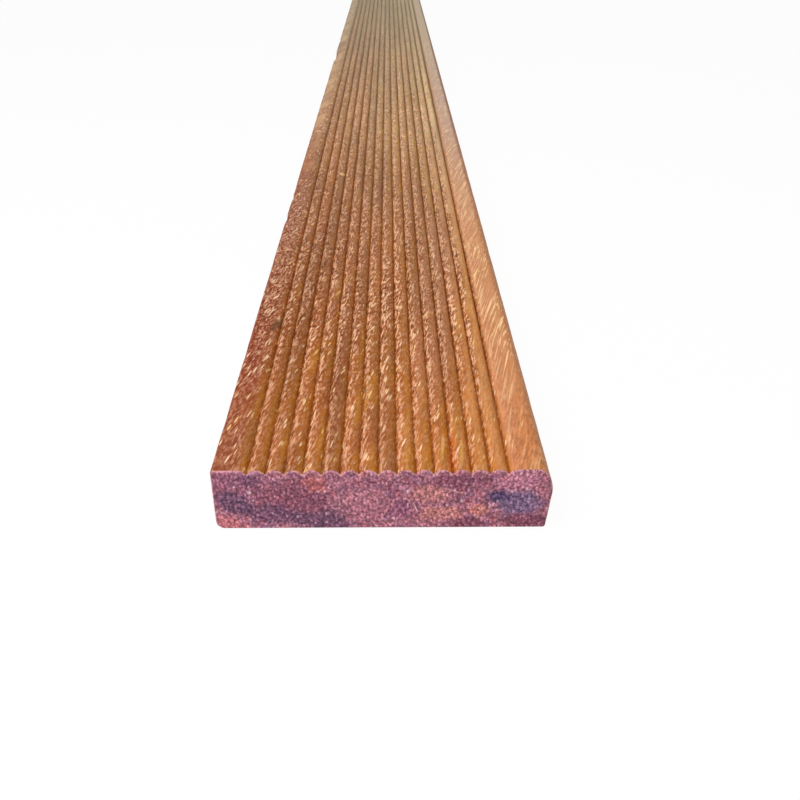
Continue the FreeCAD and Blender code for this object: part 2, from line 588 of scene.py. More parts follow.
def make_sway():
    """A group for a position that wanders across the grain by up to half the reach, over some length."""
    takes = {"Position": VECTOR, "Length": FLOAT, "Reach": FLOAT}
    tree, taken, given = new_group("sway", takes, {"Moved": VECTOR})
    position, length, reach = (taken.outputs[name] for name in takes)
    size = place_node(tree, "ShaderNodeCombineXYZ", {
        "X": length, "Y": maths(tree, "MULTIPLY", length, SWAY_STRETCH), "Z": length,
    }).outputs[0]
    limit = place_node(tree, "ShaderNodeCombineXYZ", {"X": reach, "Z": reach}).outputs[0]
    slow = soft_noise(tree, scaled_space(tree, position, size), 1.0, 0.5, 1)
    drift = vector_maths(tree, "SUBTRACT", slow, (0.5, 0.5, 0.5))
    moved = vector_maths(tree, "ADD", position, vector_maths(tree, "MULTIPLY", drift, limit))
    tree.links.new(moved, given.inputs["Moved"])
    return tree


def make_soft_spot():
    """A group for a mask that is 1 in the middle of an ellipse and fades to 0 at its edge."""
    takes = {"Position": VECTOR, "Middle": VECTOR, "Turn": VECTOR, "Reach": VECTOR, "Core": FLOAT}
    tree, taken, given = new_group("soft_spot", takes, {"Mask": FLOAT})
    position, middle, turn, reach, core = (taken.outputs[name] for name in takes)
    inputs = {"Vector": position, "Location": middle, "Rotation": turn, "Scale": reach}
    local = place_node(tree, "ShaderNodeMapping", inputs, vector_type="TEXTURE").outputs[0]
    distance = place_node(tree, "ShaderNodeVectorMath", {0: local}, operation="LENGTH").outputs["Value"]
    tree.links.new(spread(tree, distance, 1.0, core), given.inputs["Mask"])
    return tree


sway = make_sway()
soft_spot = make_soft_spot()
print(f"groups {sway.name} and {soft_spot.name} made")

# %% [markdown]
# ## Long grain
#
# The moulded faces are golden brown. Where the knives met the slanted grain head on, on the left land and
# on the left lip of each reed, the fibres tore, and the face is pink-brown with pale and dark flecks. The
# right flanks were cut with the grain and are smooth and amber. The right land is peach with long fine
# streaks. One wood texture over the whole face could do, but the reeds would look printed on, so each of
# these finishes has a short function of its own, and masks say where on the board it shows. Ranges are
# written as the helper spread takes them: where a change begins, where it ends and, if these aren't 0 and
# 1, the values at its two ends. The helper eased takes the two values alone.

# %% Places on the board
NEAR_STRETCH = (80 * MM, 0 * MM)
TEAR_STRETCH = (0 * MM, 140 * MM)
REACH_STRETCH = (180 * MM, 380 * MM)
MIDDLE_STRETCH = (220 * MM, 520 * MM)
PEACH_STRETCH = (150 * MM, 450 * MM)
FAR_STRETCH = (420 * MM, 1000 * MM)
FAR_SHARES = (0.0, 0.55)
RETURN_STRETCH = (1000 * MM, 1500 * MM)
RETURN_SHARES = (1.0, 0.4)
PEACH_REEDS = (16 * MM, 33 * MM)
LEFT_LAND_SPAN = (FIRST_GROOVE - 0.3 * REED_PITCH, FIRST_GROOVE - 0.9 * REED_PITCH)
RIGHT_LAND_SPAN = (LAST_GROOVE, LAST_GROOVE + 0.35 * REED_PITCH)
LAST_GROOVE_SPAN = (LAST_GROOVE - 0.1 * REED_PITCH, LAST_GROOVE + 0.1 * REED_PITCH)


def product(tree, first, *others):
    """Values multiplied together."""
    for other in others:
        first = maths(tree, "MULTIPLY", first, other)
    return first


def inverse(tree, mask):
    """1 where a mask is 0, and 0 where it is 1."""
    return maths(tree, "SUBTRACT", 1.0, mask)


def between(tree, share, at_zero, at_one):
    """A value that goes from one value to another as a share goes from 0 to 1."""
    return maths(tree, "MULTIPLY_ADD", maths(tree, "SUBTRACT", at_one, at_zero), share, at_zero)


def eased(tree, mask, at_zero, at_one):
    """A number that goes smoothly from one end to the other as a mask goes from 0 to 1."""
    return spread(tree, mask, 0.0, 1.0, at_zero, at_one)


def stretch(tree, along, start, end, at_start=0.0, at_end=1.0):
    """A number that changes over a stretch of the board, which is given from the near end."""
    return spread(tree, along, NEAR_END + start, NEAR_END + end, at_start, at_end)


def board_places(tree, position):
    """Masks for where on the board a point lies, from 0 to 1, under one name each."""
    axes = place_node(tree, "ShaderNodeSeparateXYZ", {0: position}).outputs
    at = SimpleNamespace(across=axes["X"], along=axes["Y"])
    at.flank = named_attribute(tree, "flank")
    at.hollow = named_attribute(tree, "hollow")
    at.to_right = spread(tree, at.across, LEFT_EDGE, RIGHT_EDGE)
    at.to_near = stretch(tree, at.along, *NEAR_STRETCH)
    at.beyond_near = stretch(tree, at.along, *TEAR_STRETCH)
    at.past_reach = stretch(tree, at.along, *REACH_STRETCH)
    at.past_middle = stretch(tree, at.along, *MIDDLE_STRETCH)
    at.beyond_peach = stretch(tree, at.along, *PEACH_STRETCH)
    far = stretch(tree, at.along, *FAR_STRETCH, *FAR_SHARES)
    at.to_far = product(tree, far, stretch(tree, at.along, *RETURN_STRETCH, *RETURN_SHARES))
    at.to_peach = spread(tree, at.across, *PEACH_REEDS)
    at.on_left_land = spread(tree, at.across, *LEFT_LAND_SPAN)
    at.on_right_land = spread(tree, at.across, *RIGHT_LAND_SPAN)
    at.on_reeds = inverse(tree, maths(tree, "ADD", at.on_left_land, at.on_right_land))
    at.by_last_groove = spread(tree, at.across, *LAST_GROOVE_SPAN)
    return at


print("places on the board named")

# %% [markdown]
# The reeds come first. A ramp over the flank attribute gives each reed its lip, its brown crest and its
# amber right flank, a little lighter on the left flank and darker by the grooves, which is painted light
# and painted shade. Slow noise then makes some stretches golden and others olive or mauve. Part of that
# noise is one value for a whole reed, because neighbouring reeds are cut from different growth.

# %% Reeds
# Partly painted light and shade: a little lighter on the left flank and darker by each groove
FLANK_COLOUR_AND_SHADE = [  # from the groove on the left of a reed, over its crest, to the groove on its right
    (0.00, (164, 90, 30)),
    (0.06, (180, 104, 40)),
    (0.15, (190, 114, 60)),
    (0.50, (184, 112, 58)),
    (0.75, (183, 111, 38)),
    (0.92, (182, 106, 24)),
    (1.00, (170, 95, 16)),
]
GOLD = screen_colour(196, 128, 40)
OLIVE = screen_colour(158, 102, 38)
MAUVE = screen_colour(150, 88, 60)
PEACH_REED = screen_colour(220, 150, 96)
PEACH_REED_SHARES = (0.85, 0.2)
REED_PATCHES = [  # slow value, where a patch starts and where it is full, its share and its colour
    ("Hue", 0.52, 0.70, 0.50, GOLD),
    ("Hue", 0.48, 0.30, 0.60, MAUVE),
    ("Cloud", 0.52, 0.66, 0.65, GOLD),
    ("Ribbon", 0.50, 0.36, 0.55, OLIVE),
    ("Cloud", 0.50, 0.34, 0.60, MAUVE),
]
REED_TONE_LENGTH = 170 * MM
REED_TONE_STEP = 3.7  # how far apart neighbouring reeds lie in the noise that gives them their tones


def lay(tree, colour, layers, mode="MIX"):
    """Layers of mask and colour that are mixed over a colour, or multiplied into it, one by one."""
    for mask, tone in layers:
        colour = blend_colour(tree, mask, colour, tone, mode)
    return colour


def ramp(tree, value, stops):
    """A colour ramp through screen colours."""
    made = place_node(tree, "ShaderNodeValToRGB", {0: value})
    elements = made.color_ramp.elements
    while len(elements) < len(stops):
        elements.new(0.5)
    for element, (place, colour) in zip(elements, stops):
        element.position = place
        element.color = screen_colour(*colour)
    return made.outputs[0]


def reed_tones(tree, at):
    """Two slow values from 0 to 1 that differ from reed to reed and change along each reed."""
    from_first = maths(tree, "SUBTRACT", at.across, FIRST_GROOVE)
    reed = maths(tree, "FLOOR", maths(tree, "DIVIDE", from_first, REED_PITCH))
    place = place_node(tree, "ShaderNodeCombineXYZ", {
        "X": maths(tree, "MULTIPLY", reed, REED_TONE_STEP),
        "Y": maths(tree, "DIVIDE", at.along, REED_TONE_LENGTH),
    }).outputs[0]
    slow = soft_noise(tree, place, detail=1.0, output=1)
    tones = place_node(tree, "ShaderNodeSeparateColor", {0: slow}).outputs
    return tones[0], tones[1]


def reed_colour(tree, wood, at, hue):
    """The reeds where the knives cut cleanly: a ramp over each reed, with slow changes along the board."""
    colour = ramp(tree, maths(tree, "MULTIPLY_ADD", at.flank, 0.5, 0.5), FLANK_COLOUR_AND_SHADE)
    slow_values = {"Hue": hue, "Cloud": wood["Cloud"], "Ribbon": wood["Ribbon"]}
    layers = [
        (spread(tree, slow_values[source], start, full, 0.0, share), tone)
        for source, start, full, share, tone in REED_PATCHES
    ]
    peach = product(tree, at.to_peach, eased(tree, at.past_middle, *PEACH_REED_SHARES))
    return lay(tree, colour, [*layers, (peach, PEACH_REED)])


print(f"reeds: a ramp of {len(FLANK_COLOUR_AND_SHADE)} colours and {len(REED_PATCHES)} kinds of patch")

# %% [markdown]
# The right land was planed clean, so it shows the wood's own long streaks. They are noise that is stretched
# along the slanted grain: fine far off, broader near the end. The half beside the last groove is pinker
# and speckled, and the rim that rounds down to the edge is browner.

# %% Right land
PEACH = screen_colour(206, 137, 90)
PEACH_NEAR = screen_colour(198, 125, 76)
PEACH_FAR = screen_colour(186, 141, 132)
PEACH_INNER = screen_colour(208, 138, 104)
PEACH_DARK = screen_colour(190, 112, 62)
PEACH_PALE = screen_colour(255, 208, 154)
PEACH_RIM = screen_colour(200, 120, 44)
FINE_STREAK_SIZE = (0.5 * MM, 22 * MM, 0.5 * MM)
BROAD_STREAK_SIZE = (0.85 * MM, 30 * MM, 0.85 * MM)
INNER_SPAN = (RIGHT_EDGE - 5 * MM, LAST_GROOVE)
INNER_SHARE = 0.5
SPECKLE = (0.4, 0.6, 0.78, 1.26)
SPECKLE_SHARE = 0.8
STREAKS_FAR = (1.0, 0.6)
STREAKS_NEAR = (1.0, 0.65)
STREAKS_BY_CLOUD = (0.4, 0.56, 0.55, 1.0)
DARK_STREAK = (0.5, 0.3, 0.0, 0.5)
PALE_STREAK = (0.51, 0.67)
RIM_SPAN = (RIGHT_EDGE - 3.2 * MM, RIGHT_EDGE - 1.5 * MM)
RIM_SHARE = 0.75


def right_land_colour(tree, slanted, wood, at):
    """The plain land on the right: peach with streaks, a pinker inside and a browner rim."""
    inner = spread(tree, at.across, *INNER_SPAN)
    colour = lay(tree, PEACH, [
        (at.to_near, PEACH_NEAR),
        (at.beyond_peach, PEACH_FAR),
        (product(tree, inner, INNER_SHARE), PEACH_INNER),
    ])
    speckled = product(tree, maths(tree, "MAXIMUM", inner, at.to_near), SPECKLE_SHARE)
    colour = lay(tree, colour, [(speckled, spread(tree, wood["Coarse"], *SPECKLE))], "MULTIPLY")
    fine = soft_noise(tree, scaled_space(tree, slanted, FINE_STREAK_SIZE))
    broad = soft_noise(tree, scaled_space(tree, slanted, BROAD_STREAK_SIZE))
    streak = between(tree, at.to_near, fine, broad)
    by_cloud = spread(tree, wood["Cloud"], *STREAKS_BY_CLOUD)
    shown = product(tree, eased(tree, at.beyond_peach, *STREAKS_FAR), by_cloud)
    near_share = eased(tree, at.to_near, *STREAKS_NEAR)
    return lay(tree, colour, [
        (product(tree, spread(tree, streak, *DARK_STREAK), shown), PEACH_DARK),
        (product(tree, spread(tree, streak, *PALE_STREAK), near_share, shown), PEACH_PALE),
        (product(tree, spread(tree, at.across, *RIM_SPAN), RIM_SHARE), PEACH_RIM),
    ])


print("right land: streaks, speckle and rim")

# %% [markdown]
# How torn a place is comes from a sum: the flank attribute is low on the left of a reed, and each place
# and each noise moves it up, to smooth, or down, to torn. The base colours are then laid in order: reeds,
# right land, the far left land, the torn wood, the pale lips, which are pale torn fibres and painted light,
# and the amber of the near right reeds.

# %% Torn wood and base colours
TORN_BASE = screen_colour(168, 92, 48)
TORN_LEFT = screen_colour(144, 68, 54)
TORN_COLOUR_SHARE = 0.75
TORN_RANGE = (0.6, -0.1)  # of the sum, from smooth to torn
SMOOTH_LAND_SPAN = (LAST_GROOVE + 0.05 * REED_PITCH, LAST_GROOVE + 0.5 * REED_PITCH)
SMOOTH_LAND_LEANS = (1.3, 0.8)
TORN_LAND_LEANS = (0.0, 0.6, -1.1, 0.5)
LEFT_LAND_FAR = screen_colour(192, 123, 84)
# The lips: pale torn fibres, and painted light where the left flank rises from the groove
LIP_PALE_AND_LIGHT = screen_colour(220, 148, 102)
LIP_RISE = (-0.92, -0.7)
LIP_FALL = (-0.15, -0.6)
LIP_SHARE = 0.45
NEAR_RIGHT_AMBER = screen_colour(212, 122, 16)
AMBER_ACROSS = (0.55, 0.95, 0.1, 0.6)
CREST_AT = 0.05  # of a reed, as a value of the flank attribute
AMBER_OFF_CREST = (0.1, 0.6, 0.35, 1.0)
COARSE_LIP = (0.0, -0.4)


def chosen_mottle(tree, wood, at):
    """The fine mottle, or the coarse one near the end, far off and on the lips."""
    share = maths(tree, "MAXIMUM", inverse(tree, at.beyond_near), at.past_reach)
    share = maths(tree, "MAXIMUM", share, spread(tree, at.flank, *COARSE_LIP))
    return between(tree, share, wood["Mottle"], wood["Coarse"])


def torn_share(tree, wood, mottle, at):
    """1 where the face is torn: the left land and left flanks, less towards the right and the far end."""
    leans = [  # a value, and how far it moves the sum at 1
        (at.to_right, 0.3),
        (spread(tree, at.across, *SMOOTH_LAND_SPAN), eased(tree, at.to_near, *SMOOTH_LAND_LEANS)),
        (at.on_left_land, spread(tree, at.past_reach, *TORN_LAND_LEANS)),
        (at.past_middle, 0.1),
        (at.to_peach, 0.4),
        (inverse(tree, at.to_near), -0.3),
        (product(tree, at.to_right, at.to_near), 0.25),
        (maths(tree, "SUBTRACT", 0.5, wood["Ribbon"]), 2.2),
        (maths(tree, "SUBTRACT", 0.5, mottle), 1.0),
    ]
    lean = at.flank
    for value, weight in leans:
        lean = maths(tree, "MULTIPLY_ADD", value, weight, lean)
    return spread(tree, lean, *TORN_RANGE)


def base_colour(tree, wood, slanted, at, torn, hue):
    """The colours of the reeds and lands, with painted light on the lips, before tints, tears, dirt and
    painted shade.
    """
    lip = product(tree, spread(tree, at.flank, *LIP_RISE), spread(tree, at.flank, *LIP_FALL), LIP_SHARE)
    from_crest = maths(tree, "ABSOLUTE", maths(tree, "SUBTRACT", at.flank, CREST_AT))
    amber = product(
        tree,
        at.to_near,
        spread(tree, at.to_right, *AMBER_ACROSS),
        inverse(tree, at.on_right_land),
        spread(tree, from_crest, *AMBER_OFF_CREST),
    )
    torn_colour = blend_colour(tree, at.on_left_land, TORN_BASE, TORN_LEFT)
    return lay(tree, reed_colour(tree, wood, at, hue), [
        (at.on_right_land, right_land_colour(tree, slanted, wood, at)),
        (product(tree, at.on_left_land, at.past_reach), LEFT_LAND_FAR),
        (product(tree, torn, TORN_COLOUR_SHARE), torn_colour),
        # pale torn fibres and painted light on the left lips
        (lip, LIP_PALE_AND_LIGHT),
        (amber, NEAR_RIGHT_AMBER),
    ])


print("torn wood and base colours ready")

# %% [markdown]
# The board isn't the same tone all over: it is browner on the left and paler on the right, and along the
# board the reeds turn paler and greyer away from the near end, which is painted sheen. These slow changes
# are tints, colours that multiply what is there, each over its own stretch. They come before the flecks, so
# that a fleck of pale fibre stays pale.

# %% Tints
FIBRE_TINT = (0.3, 0.7, 0.84, 1.14)
FIBRE_ON_RIGHT_LAND = (1.0, 0.4)
# Painted sheen: tints that make the reeds paler and greyer away from the near end
SHEEN_TINTS_ALONG = [  # the stretch, in millimetres from the near end, over which a tint comes in
    (0, 100, (0.95, 0.87, 0.52, 1.0)),
    (120, 240, (1.06, 1.20, 1.70, 1.0)),
    (200, 430, (1.22, 1.56, 1.74, 1.0)),
]
LEFT_SIDE_TINT = (0.94, 0.80, 0.66, 1.0)
RIGHT_SIDE_TINT = (1.09, 1.20, 1.42, 1.0)
FAR_LEFT_TINT = (1.04, 1.02, 0.96, 1.0)
FAR_RIGHT_TINT = (1.0, 1.10, 1.40, 1.0)
FAR_SIDES = (0.1, 0.5)
LEFT_REEDS_TINT = (1.0, 0.94, 0.84, 1.0)
LEFT_REEDS = (-5 * MM, -20 * MM)
LEFT_REEDS_END = (0.6, 0.0)
LEFT_LAND_TINT = (0.90, 0.66, 0.58, 1.0)
LEFT_LAND_STRETCH = (10 * MM, 70 * MM)
LEFT_LAND_END = (0.5, 0.0)
LEFT_LAND_SLOPE = (LEFT_EDGE + 4 * MM, FIRST_GROOVE - 0.5 * REED_PITCH, 1.04, 0.84)


def tinted(tree, wood, colour, at):
    """A colour with the fibres, the board's slow changes of tone, and the painted sheen along the board."""
    fibre_share = eased(tree, at.on_right_land, *FIBRE_ON_RIGHT_LAND)
    layers = [(fibre_share, spread(tree, wood["Fibre"], *FIBRE_TINT))]
    off_right_land = inverse(tree, at.on_right_land)
    for start, end, tone in SHEEN_TINTS_ALONG:
        beyond = stretch(tree, at.along, start * MM, end * MM)
        layers.append((product(tree, beyond, off_right_land), tone))
    side = blend_colour(tree, at.to_right, LEFT_SIDE_TINT, RIGHT_SIDE_TINT)
    far_side = blend_colour(tree, spread(tree, at.to_right, *FAR_SIDES), FAR_LEFT_TINT, FAR_RIGHT_TINT)
    left_reeds = product(tree, spread(tree, at.across, *LEFT_REEDS), at.on_reeds, at.beyond_near)
    left_land = product(tree, at.on_left_land, stretch(tree, at.along, *LEFT_LAND_STRETCH))
    layers += [
        (product(tree, at.beyond_near, at.on_reeds), side),
        (product(tree, at.past_reach, at.on_reeds), far_side),
        (product(tree, left_reeds, spread(tree, at.past_reach, *LEFT_REEDS_END)), LEFT_REEDS_TINT),
        (product(tree, left_land, spread(tree, at.past_middle, *LEFT_LAND_END)), LEFT_LAND_TINT),
        (product(tree, at.on_left_land, at.beyond_near), spread(tree, at.across, *LEFT_LAND_SLOPE)),
    ]
    return lay(tree, colour, layers, "MULTIPLY")


print(f"{len(SHEEN_TINTS_ALONG)} tints along the board, and those of its sides")

# %% [markdown]
# Now the tears. The mottle's low ends are dark pits and its high ends pale raised fibres, and the solid
# wood's dashes and glints lie over them. An amount says how strongly they show: most on the lips, less on
# the crests, near the end and towards the right, and hardly on the smooth part of the left land.

# %% How strongly the tears show
AMOUNT_ALONG = (0.45, 1.0)
AMOUNT_ACROSS = (0.2, 0.9, 1.0, 0.8)
AMOUNT_ON_REED = (-0.65, 0.15, 1.35, 0.62)
AMOUNT_LAST_GROOVE = (1.0, 0.35)
LEAST_AMOUNT = (0.14, 0.28)
LAND_AMOUNT_ALONG = (0.82, 0.76)
LAND_AMOUNT_INNER = (LEFT_EDGE + 4 * MM, FIRST_GROOVE - 1.5 * MM, 1.0, 0.5)
LAND_AMOUNT_FAR = (0.0, 0.7, 1.0, 0.35)


def tear_amount(tree, torn, at):
    """How strongly the flecks of a place show."""
    inner = spread(tree, at.across, *LAND_AMOUNT_INNER)
    on_land = product(
        tree,
        eased(tree, at.beyond_near, *LAND_AMOUNT_ALONG),
        maths(tree, "MAXIMUM", inner, at.to_near),
        spread(tree, at.past_reach, *LAND_AMOUNT_FAR),
    )
    amount = product(
        tree,
        torn,
        eased(tree, at.beyond_near, *AMOUNT_ALONG),
        spread(tree, at.to_right, *AMOUNT_ACROSS),
        between(tree, at.on_left_land, 1.0, on_land),
        spread(tree, at.flank, *AMOUNT_ON_REED),
        eased(tree, at.by_last_groove, *AMOUNT_LAST_GROOVE),
    )
    least = product(tree, at.on_reeds, eased(tree, at.beyond_near, *LEAST_AMOUNT))
    return maths(tree, "MAXIMUM", amount, least)


print("amount of the tears ready")

# %% Tears
TEAR_PALE = screen_colour(255, 199, 162)
TEAR_PALE_FAR = screen_colour(255, 214, 186)
TEAR_DARK = screen_colour(70, 10, 0)
DASH_PALE = screen_colour(252, 200, 164)
DASH_DARK = screen_colour(90, 26, 4)
GLINT_PINK = screen_colour(255, 214, 172)
GLINT_GOLD = screen_colour(252, 212, 138)
PIT_RANGE = (0.49, 0.40)
CREST_RANGE = (0.52, 0.60)
SPARSE_ON_REED = (-0.6, -0.1, -0.3, 1.0)
SPARSE_PIT_SHIFT = 0.028
SPARSE_CREST_SHIFT = -0.035
PIT_SHARES = (0.55, 0.95)
CREST_SHARE = 0.95
DASH_SHARES = (0.12, 0.95)
DARK_DASH_SHARE = 0.8
GOLDEN_CLOUD = (0.5, 0.6)
GLINT_ON_TORN = (0.0, 0.6, 0.1, 0.95)
GLINT_ON_GOLD = 0.8


def add_pits(tree, mottle, colour, amount, at):
    """Dark pits and pale raised fibres, fewer of them on the crests past the near stretch."""
    sparse = product(tree, at.beyond_near, at.on_reeds, spread(tree, at.flank, *SPARSE_ON_REED))
    pit = spread(tree, maths(tree, "MULTIPLY_ADD", sparse, SPARSE_PIT_SHIFT, mottle), *PIT_RANGE)
    crest = spread(tree, maths(tree, "MULTIPLY_ADD", sparse, SPARSE_CREST_SHIFT, mottle), *CREST_RANGE)
    tear_pale = blend_colour(tree, at.past_reach, TEAR_PALE, TEAR_PALE_FAR)
    return lay(tree, colour, [
        (product(tree, pit, amount, eased(tree, at.on_left_land, *PIT_SHARES)), TEAR_DARK),
        (product(tree, crest, amount, CREST_SHARE), tear_pale),
    ])


def add_dashes(tree, wood, colour, torn, amount):
    """Short pale and dark dashes, and the glints of fibres that lie over. Also gives the pale dashes."""
    strength = eased(tree, amount, *DASH_SHARES)
    pale = product(tree, wood["Pale"], strength)
    golden = spread(tree, wood["Cloud"], *GOLDEN_CLOUD)
    on_gold = product(tree, golden, GLINT_ON_GOLD)
    shown = maths(tree, "MAXIMUM", spread(tree, torn, *GLINT_ON_TORN), on_gold)
    colour = lay(tree, colour, [
        (product(tree, wood["Dark"], strength, DARK_DASH_SHARE), DASH_DARK),
        (pale, DASH_PALE),
        (product(tree, wood["Glint"], shown), blend_colour(tree, golden, GLINT_PINK, GLINT_GOLD)),
    ])
    return colour, pale


print("pits, dashes and glints ready")

# %% [markdown]
# The grooves are browner than the reeds, which is painted shade, and dirt and more painted shade lie along
# their bottoms. The hollow attribute says how deep a point is, and some mottle makes the edge of this
# ragged.
# Last, each reed gets its own light or dark tone, as neighbours on a real board differ a little.

# %% Grooves and reed tones
# Painted shade in the grooves: a brown tint by depth, and a dark colour that is dirt and shade
HOLLOW_PAINTED_SHADE = (0.90, 0.76, 0.44, 1.0)
GROOVE_DUST_AND_SHADE = screen_colour(98, 40, 0)
RAGGED_SHARE = 0.5
SUNK_SHADE_RANGE = (0.3, 1.0)
SUNK_SHADE_ALONG = (0.4, 1.0)
DUST_AND_SHADE_RANGE = (0.82, 0.98)
DUST_AND_SHADE_ALONG = (0.5, 0.78)
DUST_AND_SHADE_ACROSS = (0.5, 1.0, 1.0, 1.3)
# Painted shade on the last groove's right wall, far off
LAST_WALL_SHADE_SPAN = (LAST_GROOVE + 0.5 * REED_PITCH, LAST_GROOVE)
LAST_WALL_SHADE_SHARE = 0.5
# Painted light on the right flanks, and far off a painted highlight on the crests and painted shade on the
# right flanks
RIGHT_FLANK_PAINTED_LIGHT = (0.1, 1.0, 0.9, 1.14)
CROWN_PAINTED_LIGHT_AND_SHADE = (-0.2, 0.6, 1.1, 0.93)
REED_TONE_TINT = (0.3, 0.7, 0.87, 1.13)
REED_SIDE_TINT = (0.1, 0.7, 0.93, 1.0)


def shade_and_soil_grooves(tree, colour, mottle, at):
    """Brown the grooves as painted shade, lay dirt and painted shade at their bottoms, and far off also on
    the last groove's right wall.
    """
    ragged = maths(tree, "SUBTRACT", 0.5, mottle)
    hollow = maths(tree, "MULTIPLY_ADD", ragged, RAGGED_SHARE, at.hollow)
    sunk_shade = product(tree, spread(tree, hollow, *SUNK_SHADE_RANGE), eased(tree, at.beyond_near, *SUNK_SHADE_ALONG))
    dust_and_shade = product(tree, spread(tree, hollow, *DUST_AND_SHADE_RANGE), eased(tree, at.beyond_near, *DUST_AND_SHADE_ALONG))
    dust_and_shade = product(tree, dust_and_shade, spread(tree, at.to_right, *DUST_AND_SHADE_ACROSS))
    wall = product(tree, at.by_last_groove, spread(tree, at.across, *LAST_WALL_SHADE_SPAN))
    wall = product(tree, wall, at.past_reach, LAST_WALL_SHADE_SHARE)
    # painted shade: darker with depth, and dirt and shade at the bottoms and on the last wall
    colour = lay(tree, colour, [(sunk_shade, HOLLOW_PAINTED_SHADE)], "MULTIPLY")
    return lay(tree, colour, [(maths(tree, "MAXIMUM", dust_and_shade, wall), GROOVE_DUST_AND_SHADE)])


def shade_reeds(tree, colour, tone, at):
    """Lighten the right flanks towards the grooves with painted light, paint far reeds lighter on the crest
    and shaded on the right flank, and give each reed its own tone.
    """
    middle = product(tree, at.on_reeds, at.beyond_near, inverse(tree, at.past_middle))
    own_tone = product(tree, spread(tree, tone, *REED_TONE_TINT), spread(tree, at.to_right, *REED_SIDE_TINT))
    # painted light and shade on the flanks and crests, then each reed's own tone
    return lay(tree, colour, [
        (middle, spread(tree, at.flank, *RIGHT_FLANK_PAINTED_LIGHT)),
        (product(tree, at.on_reeds, at.past_reach), spread(tree, at.flank, *CROWN_PAINTED_LIGHT_AND_SHADE)),
        (at.on_reeds, own_tone),
    ], "MULTIPLY")


print("grooves and reed tones ready")

# %% [markdown]
# A few marks sit at one place only: golden, mauve and rosy stretches, a grey stain on the left land, streaks
# at the near end, and fibres that catch the light. Each is a soft ellipse in a table, because a noise could
# give such marks but not put them where they are.

# %% Marks on the reeded face
ROSE = screen_colour(192, 124, 100)
STAIN_GREY = screen_colour(92, 60, 38)
STREAK_ORANGE = screen_colour(216, 100, 28)
STREAK_PALE = screen_colour(236, 176, 96)
TOP_MARK_CORE = 0.35
MARK_DEPTH = 0.1  # reach of a mark along the direction in which it doesn't fade
# Each mark: colour, strength, place across and from the near end, reach across and along, turn in degrees
BROAD_MARKS = [
    (MAUVE, 0.6, (-13.5, 75), (2.6, 90), 0),
    (MAUVE, 0.45, (1.0, 110), (5.0, 60), -4),
    (ROSE, 0.7, (19, 120), (12.0, 110), -4),
    (GOLD, 0.8, (-16.5, 122), (3.0, 18), -8),
    (GOLD, 0.7, (-21.5, 66), (3.0, 18), -8),
    (GOLD, 0.6, (-5.5, 40), (3.0, 22), -8),
    (STREAK_ORANGE, 0.65, (18.6, 10), (1.1, 18), -3),
    (STREAK_PALE, 0.6, (21.1, 9), (0.8, 9), -4),
    (STREAK_PALE, 0.55, (16.2, 12), (0.7, 9), -4),
]
SMALL_MARKS = [
    (STAIN_GREY, 0.65, (-37.3, 88), (1.9, 8.0), -14),
    (GLINT_PINK, 0.8, (1.0, 62), (0.45, 4.0), -13),
    (GLINT_PINK, 0.7, (2.0, 38), (0.45, 3.0), -13),
    (GLINT_GOLD, 0.8, (-4.0, 40), (0.4, 3.5), -13),
    (GLINT_PINK, 0.8, (-4.6, 7), (0.5, 2.4), -13),
    (GLINT_PINK, 0.7, (0.2, 21), (0.5, 2.6), -13),
    (GLINT_GOLD, 0.7, (-36.0, 57), (0.4, 2.6), -20),
    (GLINT_GOLD, 0.7, (-22.0, 68), (0.4, 4.0), -13),
    (GLINT_GOLD, 0.7, (-17.0, 116), (0.4, 5.0), -13),
    (GLINT_PINK, 0.7, (1.2, 94), (0.4, 4.0), -13),
    (GLINT_GOLD, 0.95, (-22.6, 270), (1.9, 3.4), 0),
]


def place_marks(tree, position, colour, table, core, on_end=False):
    """Blend a table of soft ellipses over a colour, on the reeded face or on the near end."""
    layers = []
    for mark, strength, (x, y), (across, along), degrees in table:
        middle = (x * MM, NEAR_END + y * MM, TOP)
        reach = (across * MM, along * MM, MARK_DEPTH)
        turn = (0, 0, math.radians(degrees))
        if on_end:
            middle = (x * MM, NEAR_END, y * MM)
            reach = (across * MM, MARK_DEPTH, along * MM)
            turn = (0, math.radians(degrees), 0)
        mask = use_group(tree, soft_spot, position, middle, turn, reach, core)[0]
        layers.append((product(tree, mask, strength), mark))
    return lay(tree, colour, layers)


print(f"{len(BROAD_MARKS)} broad and {len(SMALL_MARKS)} small marks")

# %% [markdown]
# The material puts these together. The grain wanders a little and runs at a slant to the board, so the
# solid wood is read at a swayed and turned position. Far off the board fades to a greyer tan, a painted
# sheen over painted shade, and the relief follows the torn mottle, the dashes and the fibres.

# %% Long-grain material
GRAIN_SLANT = math.radians(13)
GRAIN_SWAY = (30 * MM, 5 * MM)  # length and reach
# Painted sheen and painted shade far off
FAR_SHEEN_AND_SHADE = screen_colour(158, 138, 116)
DASH_RELIEF = 0.3
FIBRE_RELIEF = 0.15
LONG_GRAIN_ROUGHNESS = (0.42, 0.5)
LONG_GRAIN_GLOSS = 0.08
LONG_GRAIN_BUMP = (0.3 * MM, 0.8)  # distance and strength


